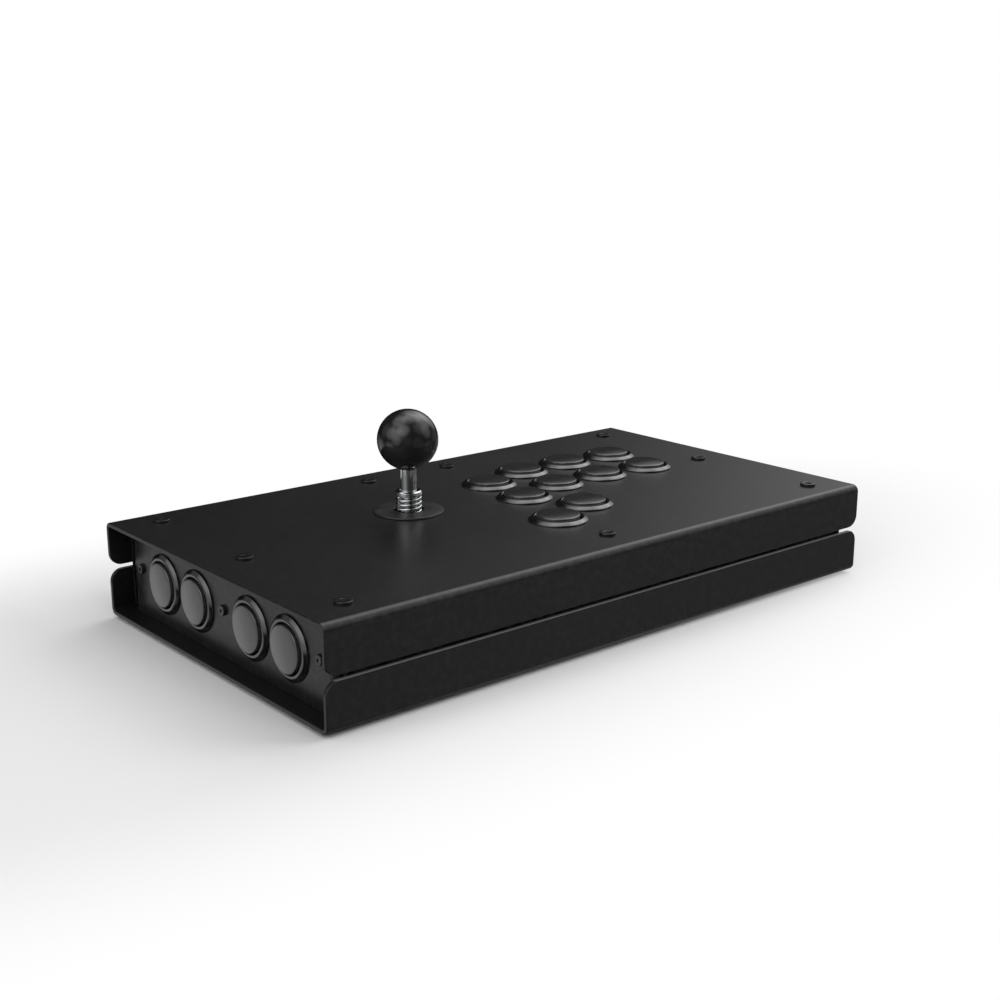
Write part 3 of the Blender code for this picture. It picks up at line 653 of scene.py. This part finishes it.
pad_size = high("base_pad") - low("base_pad")
bm = bmesh.new()
add_prism(bm, rounded_rect(pad_size.x, pad_size.y, PAD_CORNER, 12), 0.0, BASE - PAD_GAP, "z")
pad = new_object(bm, "rubber_pad")
edge_round(pad, 0.5, 3)
fit(pad, "pad_rubber", "case", "base_pad")

# ----------------------------------------------------------------------------
# screws, with z = 0 at the sheet's face
# ----------------------------------------------------------------------------
CAP_HEAD_HEIGHT = 1.5
FACING_LEFT = (0, radians(-90), 0)
FACING_RIGHT = (0, radians(90), 0)


def screw_mesh(name, profile, hex_radius, hex_floor):
    bm = bmesh.new()
    add_turned(bm, profile, 64)
    obj = new_object(bm, name)
    hexagon = [(hex_radius * cos(radians(60 * k)), hex_radius * sin(radians(60 * k)))
               for k in range(6)]
    boolean(obj, lambda bm: add_prism(bm, hexagon, hex_floor, 4.0, "z"))
    edge_round(obj, 0.07, 2, angle=45, weighted=False)
    return keep_mesh(obj, "black_screw")


def cap_screw(name, head_radius, hex_radius, hex_depth, shank_radius, length):
    """Low cap head standing on the sheet it is driven through."""
    profile = fillet([(0, CAP_HEAD_HEIGHT), (head_radius, CAP_HEAD_HEIGHT, 0.35),
                      (head_radius, 0.02, 0.08), (shank_radius, 0.02, 0.05),
                      (shank_radius, -length, 0.25), (0, -length)], 6)
    return screw_mesh(name, profile, hex_radius, CAP_HEAD_HEIGHT - hex_depth)


# (r, z, fillet radius)
SUNK_PROFILE = [(0, 0), (3.55, 0, 0.18), (3.62, -0.25, 0.1), (1.9, -1.95, 0.1),
                (1.9, -8.0, 0.2), (0, -8.0)]
SUNK_SCREW = screw_mesh("sunk_screw", fillet(SUNK_PROFILE, 4), hex_radius=1.45, hex_floor=-1.6)
TOP_SCREW = cap_screw("top_cap_screw", head_radius=4.45, hex_radius=1.5, hex_depth=0.5,
                      shank_radius=1.9, length=10.0)
END_SCREW = cap_screw("end_cap_screw", head_radius=2.8, hex_radius=0.9, hex_depth=0.8,
                      shank_radius=1.5, length=8.0)

# each screw is turned on by 17 or 23 degrees so that the hexagons don't line up
for n, p in enumerate(TOP_SCREWS, 1):
    put_copy(TOP_SCREW, f"panel_screw_{n}", (p.x, p.y, TOP), (0, 0, radians(17 * n)),
             "black_screw", "case", f"top_screw_{n}")
    put_copy(SUNK_SCREW, f"bottom_screw_{n}", (p.x, p.y, BASE + 0.12),
             (pi, 0, radians(23 * n)), "black_screw", "case")
for n, p in enumerate(END_SCREWS, 1):
    put_copy(END_SCREW, f"left_screw_{n}", (-PLATE_X, p.y, END_SCREW_Z), FACING_LEFT,
             "black_screw", "case", f"end_screw_{n}")
    put_copy(END_SCREW, f"right_screw_{n}", (PLATE_X, p.y, END_SCREW_Z), FACING_RIGHT,
             "black_screw", "case")

# ----------------------------------------------------------------------------
# buttons, with z = 0 at the sheet's face
# ----------------------------------------------------------------------------
# (r, z, fillet radius): well round the plunger, rounded rim, barrel
BEZEL_PROFILE = [
    (0, -11.6), (12.62, -11.6, 0.5), (12.62, 1.45, 0.2), (13.15, 2.12, 0.3), (14.5, 2.15, 1.6),
    (16.62, 0.72, 0.6), (16.62, 0.02, 0.08), (14.62, 0.02, 0.1), (14.62, -21.0, 0.8), (0, -21.0)]
CAP_FACE_R = 12.1
CAP_TOP = 4.0
CAP_RISE = 0.6              # height of the crown over the face's rim
CAP_EDGE = 0.6
CAP_DOME_R = 9.6            # the crown is turned in steps out to here
CAP_SKIRT = (12.12, -8.6)   # r, z at the foot of the skirt


def bezel_mesh():
    """Rounded bezel ring and barrel, a block below it and a tab on either side."""
    bm = bmesh.new()
    add_turned(bm, fillet(BEZEL_PROFILE, 8), 96)
    obj = new_object(bm, "bezel_master")

    def block_and_tabs(bm):
        add_box(bm, (-9.9, -3.2, -31.0), (9.9, 3.2, -20.0))
        for side in (-1, 1):
            add_box(bm, (side * 13.2, -3.5, -15.0), (side * 15.4, 3.5, -4.0))
    boolean(obj, block_and_tabs, "UNION")
    smooth(obj.data, 35)
    return keep_mesh(obj, "button_gloss")


def cap_mesh():
    """Plunger: a barely crowned face, a small edge radius and a nearly straight skirt."""
    sphere = (CAP_FACE_R * CAP_FACE_R + CAP_RISE * CAP_RISE) / (2 * CAP_RISE)

    def crown(r):
        return (r, CAP_TOP - sphere + sqrt(sphere * sphere - r * r))
    dome = [crown(CAP_DOME_R * k / 12) for k in range(13)]
    side = fillet([crown(CAP_DOME_R), (*crown(CAP_FACE_R), CAP_EDGE), (*CAP_SKIRT, 0.4),
                   (0, CAP_SKIRT[1])], 10)
    bm = bmesh.new()
    add_turned(bm, dome + side[1:], 96)
    return keep_mesh(new_object(bm, "cap_master", sharp_angle=50), "plunger_satin")


BEZEL, CAP = bezel_mesh(), cap_mesh()


def put_button(prefix, n, location, rotation):
    put_copy(BEZEL, f"{prefix}bezel_{n}", location, rotation,
             "button_gloss", "case", f"{prefix}button_housing_{n}")
    put_copy(CAP, f"{prefix}cap_{n}", location, rotation,
             "plunger_satin", f"{prefix}button_{n}", f"{prefix}button_plunger_{n}")


for n, p in enumerate(BUTTONS, 1):
    put_button("", n, (p.x, p.y, TOP), (0, 0, 0))
for n, p in enumerate(SIDE_BUTTONS, 1):
    put_button("side_", n, (-PLATE_X, p.y, MID_Z), FACING_LEFT)

# ----------------------------------------------------------------------------
# lever; its profiles are (r, z, fillet radius) with z in the case's frame
# ----------------------------------------------------------------------------
BALL_R = 17.0
BALL_Z = TOP + 41.0
BALL_SWEEP = 157.5          # degrees from the ball's pole down to its flat underside


def lathe(name, profile, segments, material, body, node, closed=False, sharp_angle=35):
    """Piece turned round the lever's axis."""
    bm = bmesh.new()
    add_turned(bm, profile, segments, closed=closed)
    obj = new_object(bm, name, (STICK_X, STICK_Y, 0), sharp_angle)
    fit(obj, material, body, node)


def ball():
    """Ball with a flat underside and a stepped bore; returns the height of the flat."""
    angles = [radians(90 - BALL_SWEEP * k / 60) for k in range(61)]
    sphere = [(BALL_R * cos(a), BALL_R * sin(a)) for a in angles]
    r, z = sphere[-1]
    bore = fillet([(r, z), (r - 0.35, z - 0.12, 0.15), (5.0, z - 0.12, 0.25),
                   (4.7, z + 1.1, 0.3), (3.4, z + 1.1, 0.1), (3.4, -3.2), (0, -3.2)], 4)
    lathe("ball", [(r, z + BALL_Z) for r, z in sphere + bore[1:]], 128, "ball_gloss",
          "lever", "ball_top", sharp_angle=30)
    return BALL_Z + z


def shaft(flat):
    """Shaft with a groove near its foot and a wider neck running up into the ball."""
    profile = [
        (0, 12.6), (2.6, 12.6, 0.1), (3.0, 13.0, 0.1), (3.0, 15.4, 0.02), (2.5, 15.4, 0.02),
        (2.5, 16.3, 0.02), (3.0, 16.3, 0.02), (3.0, 29.2, 0.1), (4.5, 29.9, 0.2),
        (4.5, flat - 0.9, 0.25), (3.9, flat - 0.5, 0.1), (3.9, flat + 0.4, 0.1),
        (3.0, flat + 0.6, 0.1), (3.0, 92.0, 0.3), (0, 92.0)]
    lathe("shaft", fillet(profile, 5), 96, "polished_steel", "lever", "lever_shaft",
          sharp_angle=30)


def collar():
    """Ring with a shallow groove round its middle."""
    bottom, top = low("spring_collar").z, high("spring_collar").z
    r = 7.45
    groove = (bottom + top) / 2 - 0.1
    profile = [
        (4.75, bottom + 0.1), (4.95, bottom, 0.1), (r - 0.25, bottom, 0.2),
        (r, bottom + 0.3, 0.2), (r, groove - 0.22, 0.12), (r - 0.4, groove, 0.05),
        (r, groove + 0.22, 0.12), (r, top - 0.75, 0.25), (r - 0.8, top, 0.25),
        (4.95, top, 0.15), (4.75, top - 0.2)]
    lathe("collar", fillet(profile, 4), 96, "polished_steel", "lever", "spring_collar",
          closed=True, sharp_angle=30)


def spring(top, turns, pitch, radius, wire, steps_per_turn=40, around=14):
    """Round wire wound right-handed, each end rounded off by three shrinking rings."""
    bm = bmesh.new()
    steps = int(turns * steps_per_turn)
    slope = pitch / (2 * pi * radius)
    rings = []
    for k in range(-3, steps + 4):
        step = max(0, min(steps, k))
        angle = -2 * pi * step / steps_per_turn
        over = abs(k - step)
        thickness = wire * sqrt(max(0.0, 1 - (over / 3.4) ** 2))
        radial = Vector((cos(angle), sin(angle), 0))
        along = Vector((sin(angle), -cos(angle), -slope)).normalized()
        up = radial.cross(along).normalized()
        push = along * (wire * 0.33 * over * (-1 if k < 0 else 1))
        middle = radial * radius + Vector((0, 0, top - pitch * step / steps_per_turn)) + push
        rounds = [2 * pi * m / around for m in range(around)]
        rings.append([bm.verts.new(middle + thickness * (cos(a) * radial + sin(a) * up))
                      for a in rounds])
    for a, b in zip(rings, rings[1:]):
        for m in range(around):
            q = (m + 1) % around
            bm.faces.new((a[m], a[q], b[q], b[m]))
    bm.faces.new(rings[0])
    bm.faces.new(rings[-1][::-1])
    obj = new_object(bm, "spring", (STICK_X, STICK_Y, 0), sharp_angle=60)
    fit(obj, "polished_steel", "lever", "lever_spring")


def dust_discs():
    """Washer on the top panel and a smaller one below it."""
    z = TOP + 0.06
    r = 19.8
    profile = [
        (8.2, z + 0.15), (8.35, z, 0.1), (r - 0.25, z, 0.15), (r, z + 0.3, 0.2),
        (r - 0.3, z + 0.95, 0.3), (r - 3.0, z + 1.12, 2.0), (9.0, z + 1.2, 1.0),
        (8.35, z + 1.15, 0.2), (8.2, z + 0.95)]
    lathe("dust_disc", fillet(profile, 5), 128, "washer_satin", "washer", "dust_washer",
          closed=True)
    z = low("lower_dust_washer").z
    profile = [
        (12.2, z + 0.1), (12.35, z, 0.1), (16.8, z, 0.15), (17.0, z + 0.25, 0.15),
        (17.0, z + 0.8, 0.2), (16.7, z + 1.0, 0.2), (12.35, z + 1.0, 0.1), (12.2, z + 0.9)]
    lathe("lower_dust_disc", fillet(profile, 4), 96, "washer_satin", "lower_washer",
          "lower_dust_washer", closed=True)


def pivot_ball():
    """Ring whose outside is the middle zone of a ball, 30 degrees either way."""
    z = centre("pivot_ring").z
    angles = [radians(-30 + 60 * k / 16) for k in range(17)]
    zone = [(9.2 * cos(a), z + 9.2 * sin(a)) for a in angles]
    (low_r, bottom), (high_r, top) = zone[0], zone[-1]
    bore = fillet([(high_r - 0.01, top), (5.9, top, 0.3), (5.5, top - 0.5, 0.2),
                   (5.5, bottom + 0.5, 0.2), (5.9, bottom, 0.3), (low_r - 0.01, bottom)], 4)
    lathe("pivot_ball", zone + bore[1:-1], 96, "nylon", "lever_pivot", "pivot_ring",
          closed=True)


def actuator():
    """Sleeve round the shaft's lower end."""
    bottom, top = low("lever_actuator").z, high("lever_actuator").z
    profile = [
        (3.3, top - 0.1), (3.5, top, 0.15), (5.2, top - 0.4, 0.3), (6.2, top - 1.2, 0.4),
        (6.2, bottom + 0.9, 0.4), (5.5, bottom, 0.3), (3.5, bottom, 0.15), (3.3, bottom + 0.2)]
    lathe("actuator", fillet(profile, 4), 96, "nylon", "lever", "lever_actuator", closed=True)


shaft(flat=ball())
collar()
spring(top=TOP + 8.3, turns=7.4, pitch=2.5, radius=6.65, wire=0.8)
dust_discs()
pivot_ball()
actuator()

# ----------------------------------------------------------------------------
# cable socket in the right end plate
# ----------------------------------------------------------------------------
SOCKET_SCREWS = [(SOCKET_Y + side * 9.6, MID_Z + side * 12.0) for side in (-1, 1)]
# (y, z) from the socket's centre: mouth with its two upper corners cut off
SOCKET_MOUTH = [(-4.5, -4.2), (4.5, -4.2), (4.5, 2.2), (2.6, 4.2), (-2.6, 4.2), (-4.5, 2.2)]


def cable_socket():
    """Flange on the end plate with a round body behind it, a mouth and two screw holes."""
    bm = bmesh.new()
    add_prism(bm, rounded_rect(26.0, 31.0, 4.0, 10, x=SOCKET_Y, y=MID_Z),
              PLATE_X + 0.03, SOCKET_FACE, "x")
    socket = new_object(bm, "cable_socket")
    boolean(socket, lambda bm: add_cylinder(
        bm, 11.6, -24.0, 1.0, 72, matrix=facing_x(1, PLATE_X, SOCKET_Y, MID_Z)), "UNION")
    mouth = [(SOCKET_Y + y, MID_Z + z) for y, z in SOCKET_MOUTH]
    boolean(socket, lambda bm: add_prism(bm, mouth, SOCKET_FACE - 10.0, SOCKET_FACE + 2.0, "x"))

    def screw_holes(bm):
        for y, z in SOCKET_SCREWS:
            add_turned(bm, [(0, 3.0), (3.2, 3.0), (1.7, 1.2), (1.7, -1.0), (0, -1.0)], 32,
                       matrix=facing_x(1, PLATE_X, y, z))
    boolean(socket, screw_holes)
    edge_round(socket, 0.3, 3)
    fit(socket, "black_moulding", "case", "usb_socket")


def tongue_and_contacts():
    """Tongue inside the mouth with two contact strips above it and two below."""
    bm = bmesh.new()
    add_box(bm, (SOCKET_FACE - 9.5, SOCKET_Y - 2.8, MID_Z - 1.4),
            (SOCKET_FACE - 1.6, SOCKET_Y + 2.8, MID_Z + 1.2))
    tongue = new_object(bm, "socket_tongue")
    edge_round(tongue, 0.2, 2)
    fit(tongue, "nylon", "case")
    bm = bmesh.new()
    for offset in (-1.25, 1.25):
        y = SOCKET_Y + offset
        for bottom, top in ((1.15, 1.35), (-1.55, -1.35)):
            add_box(bm, (SOCKET_FACE - 9.0, y - 0.5, MID_Z + bottom),
                    (SOCKET_FACE - 2.2, y + 0.5, MID_Z + top))
    contacts = new_object(bm, "socket_contacts")
    fit(contacts, "contact_metal", "case", slot="polished_steel")


cable_socket()
tongue_and_contacts()
for n, (y, z) in enumerate(SOCKET_SCREWS, 1):
    put_copy(SUNK_SCREW, f"socket_screw_{n}", (PLATE_X + 2.1, y, z), FACING_RIGHT,
             "black_screw", "case", scale=0.72)

# ----------------------------------------------------------------------------
# pieces that keep their frame shape: soften their edges
# ----------------------------------------------------------------------------
SOFT_EDGES = {
    "inner_frame": 0.4, "joystick_mount_plate": 0.25, "joystick_body": 0.4,
    "restrictor_gate": 0.3, "joystick_switch_board": 0.15, "control_board": 0.15}

for name, width in SOFT_EDGES.items():
    weld = NODES[name].modifiers.new("weld", "WELD")
    weld.merge_threshold = 0.00001
    bevel = NODES[name].modifiers.new("edge", "BEVEL")
    bevel.width = width * MM
    bevel.segments = 2
    bevel.limit_method = "ANGLE"
    bevel.angle_limit = radians(50)

# ----------------------------------------------------------------------------
# floor
# ----------------------------------------------------------------------------
WHITE = (1, 1, 1)


def floor_material():
    """Pale floor that fades to white away from the case, for the camera only."""
    material = bpy.data.materials.new("pale_floor")
    material.use_nodes = True
    net = Net(material.node_tree, empty=True)
    output = net.add("ShaderNodeOutputMaterial")
    pale = net.add("ShaderNodeBsdfDiffuse", {"Color": (0.77, 0.77, 0.77)}).outputs[0]
    white = net.add("ShaderNodeEmission", {"Color": WHITE, "Strength": 1.0}).outputs[0]
    position = net.add("ShaderNodeNewGeometry").outputs["Position"]
    # an oval round the case, longer in X
    oval = net.add("ShaderNodeMapping", {
        "Location": (0.056, -0.02, 0.0), "Scale": (0.4, 1.0, 1.0), "Vector": position})
    distance = net.add("ShaderNodeVectorMath", {0: oval.outputs[0]}, operation="LENGTH")
    fade = net.ramp(distance.outputs["Value"], between=(0.13, 0.25))
    camera_ray = net.camera_ray()
    faded = net.mix_shader(net.math("MULTIPLY", fade, camera_ray), pale, white)
    # from below the floor is clear, so the underside can be looked at
    backfacing = net.add("ShaderNodeNewGeometry").outputs["Backfacing"]
    clear = net.add("ShaderNodeBsdfTransparent").outputs[0]
    below = net.math("MULTIPLY", backfacing, camera_ray)
    net.feed(output.inputs[0], net.mix_shader(below, faded, clear))
    return material


bm = bmesh.new()
bmesh.ops.create_grid(bm, x_segments=2, y_segments=2, size=6.0)
mesh = bpy.data.meshes.new("floor")
bm.to_mesh(mesh)
bm.free()
floor = from_mesh(mesh, "floor")
floor.visible_glossy = False
mesh.materials.append(floor_material())

# ----------------------------------------------------------------------------
# world: soft round lights in all directions, plain white to the camera
# ----------------------------------------------------------------------------
# heading in degrees from +Y towards +X, elevation, radius in degrees, strength
SOFT_LIGHTS = [
    (-70, -22, 24, 0.60), (-30, -22, 24, 0.45), (-10, -22, 24, 0.24), (130, -22, 24, 0.19),
    (150, -22, 24, 0.11), (220, 6, 24, 0.10), (260, 6, 24, 0.57), (70, 25, 26, 0.88),
    (130, 25, 26, 0.47), (250, 25, 26, 0.31), (270, 25, 26, 0.27), (290, 25, 26, 0.73),
    (60, 46, 30, 0.88), (90, 46, 30, 0.80), (120, 46, 30, 0.30), (150, 46, 30, 0.28),
    (240, 46, 30, 0.98), (270, 46, 30, 0.40), (15, 67, 28, 0.30), (75, 67, 28, 0.90),
    (315, 67, 28, 0.83), (0, 90, 24, 0.60), (55, -24, 22, 0.50), (92, -47, 28, 0.28),
    (322, 20, 24, 0.20), (94, -4, 26, 0.14), (180, -3, 26, 0.10), (225, -27, 22, 0.14),
]
AMBIENT = 0.01


def soft_light(net, direction, heading, elevation, radius, strength):
    """Full strength at the centre, fading out at the radius."""
    heading, elevation = radians(heading), radians(elevation)
    towards = Vector((sin(heading) * cos(elevation), cos(heading) * cos(elevation),
                      sin(elevation))).normalized()
    dot = net.add("ShaderNodeVectorMath", {0: direction, 1: towards}, operation="DOT_PRODUCT")
    return net.ramp(dot.outputs["Value"], between=(cos(radians(radius)), 1.0),
                    to=(0.0, strength))


world = bpy.data.worlds.new("studio")
bpy.context.scene.world = world
world.use_nodes = True
net = Net(world.node_tree, empty=True)
output = net.add("ShaderNodeOutputWorld")
generated = net.add("ShaderNodeTexCoord").outputs["Generated"]
direction = net.add("ShaderNodeVectorMath", {0: generated}, operation="NORMALIZE").outputs[0]
total = soft_light(net, direction, *SOFT_LIGHTS[0])
for light in SOFT_LIGHTS[1:]:
    total = net.math("ADD", total, soft_light(net, direction, *light))
total = net.math("ADD", total, AMBIENT)
studio = net.add("ShaderNodeBackground", {"Color": WHITE, "Strength": total}).outputs[0]
seen = net.add("ShaderNodeBackground", {"Color": WHITE, "Strength": 1.0}).outputs[0]
net.feed(output.inputs[0], net.mix_shader(net.camera_ray(), studio, seen))


# ----------------------------------------------------------------------------
# area lights and camera
# ----------------------------------------------------------------------------
def look_along(obj, direction):
    obj.rotation_mode = "QUATERNION"
    obj.rotation_quaternion = direction.to_track_quat("-Z", "Y")


def area(name, location, size, power):
    """Square light aimed at the case, unseen in reflections."""
    light = bpy.data.lights.new(name, "AREA")
    light.energy = power
    light.size = size
    obj = bpy.data.objects.new(name, light)
    obj.location = location
    look_along(obj, Vector((0, 0, 0.02)) - Vector(location))
    obj.visible_glossy = False
    bpy.context.scene.collection.objects.link(obj)


area("right_front", (1.2, -0.8, 1.2), size=0.9, power=7.2)
area("front", (-0.2, -1.4, 1.3), size=1.2, power=10.8)
area("left", (-1.6, 0.0, 0.9), size=1.0, power=3.2)

lens = bpy.data.cameras.new("camera")
lens.sensor_width = 36.0
lens.lens = 52.34
lens.clip_start, lens.clip_end = 0.01, 50.0
camera = bpy.data.objects.new("camera", lens)
camera.location = (-0.51443, -0.61469, 0.27277)
look_along(camera, Vector((0.61986, 0.74021, -0.26052)))
scene = bpy.context.scene
scene.collection.objects.link(camera)
scene.camera = camera
scene.view_settings.view_transform = "Standard"
scene.view_settings.look = "None"
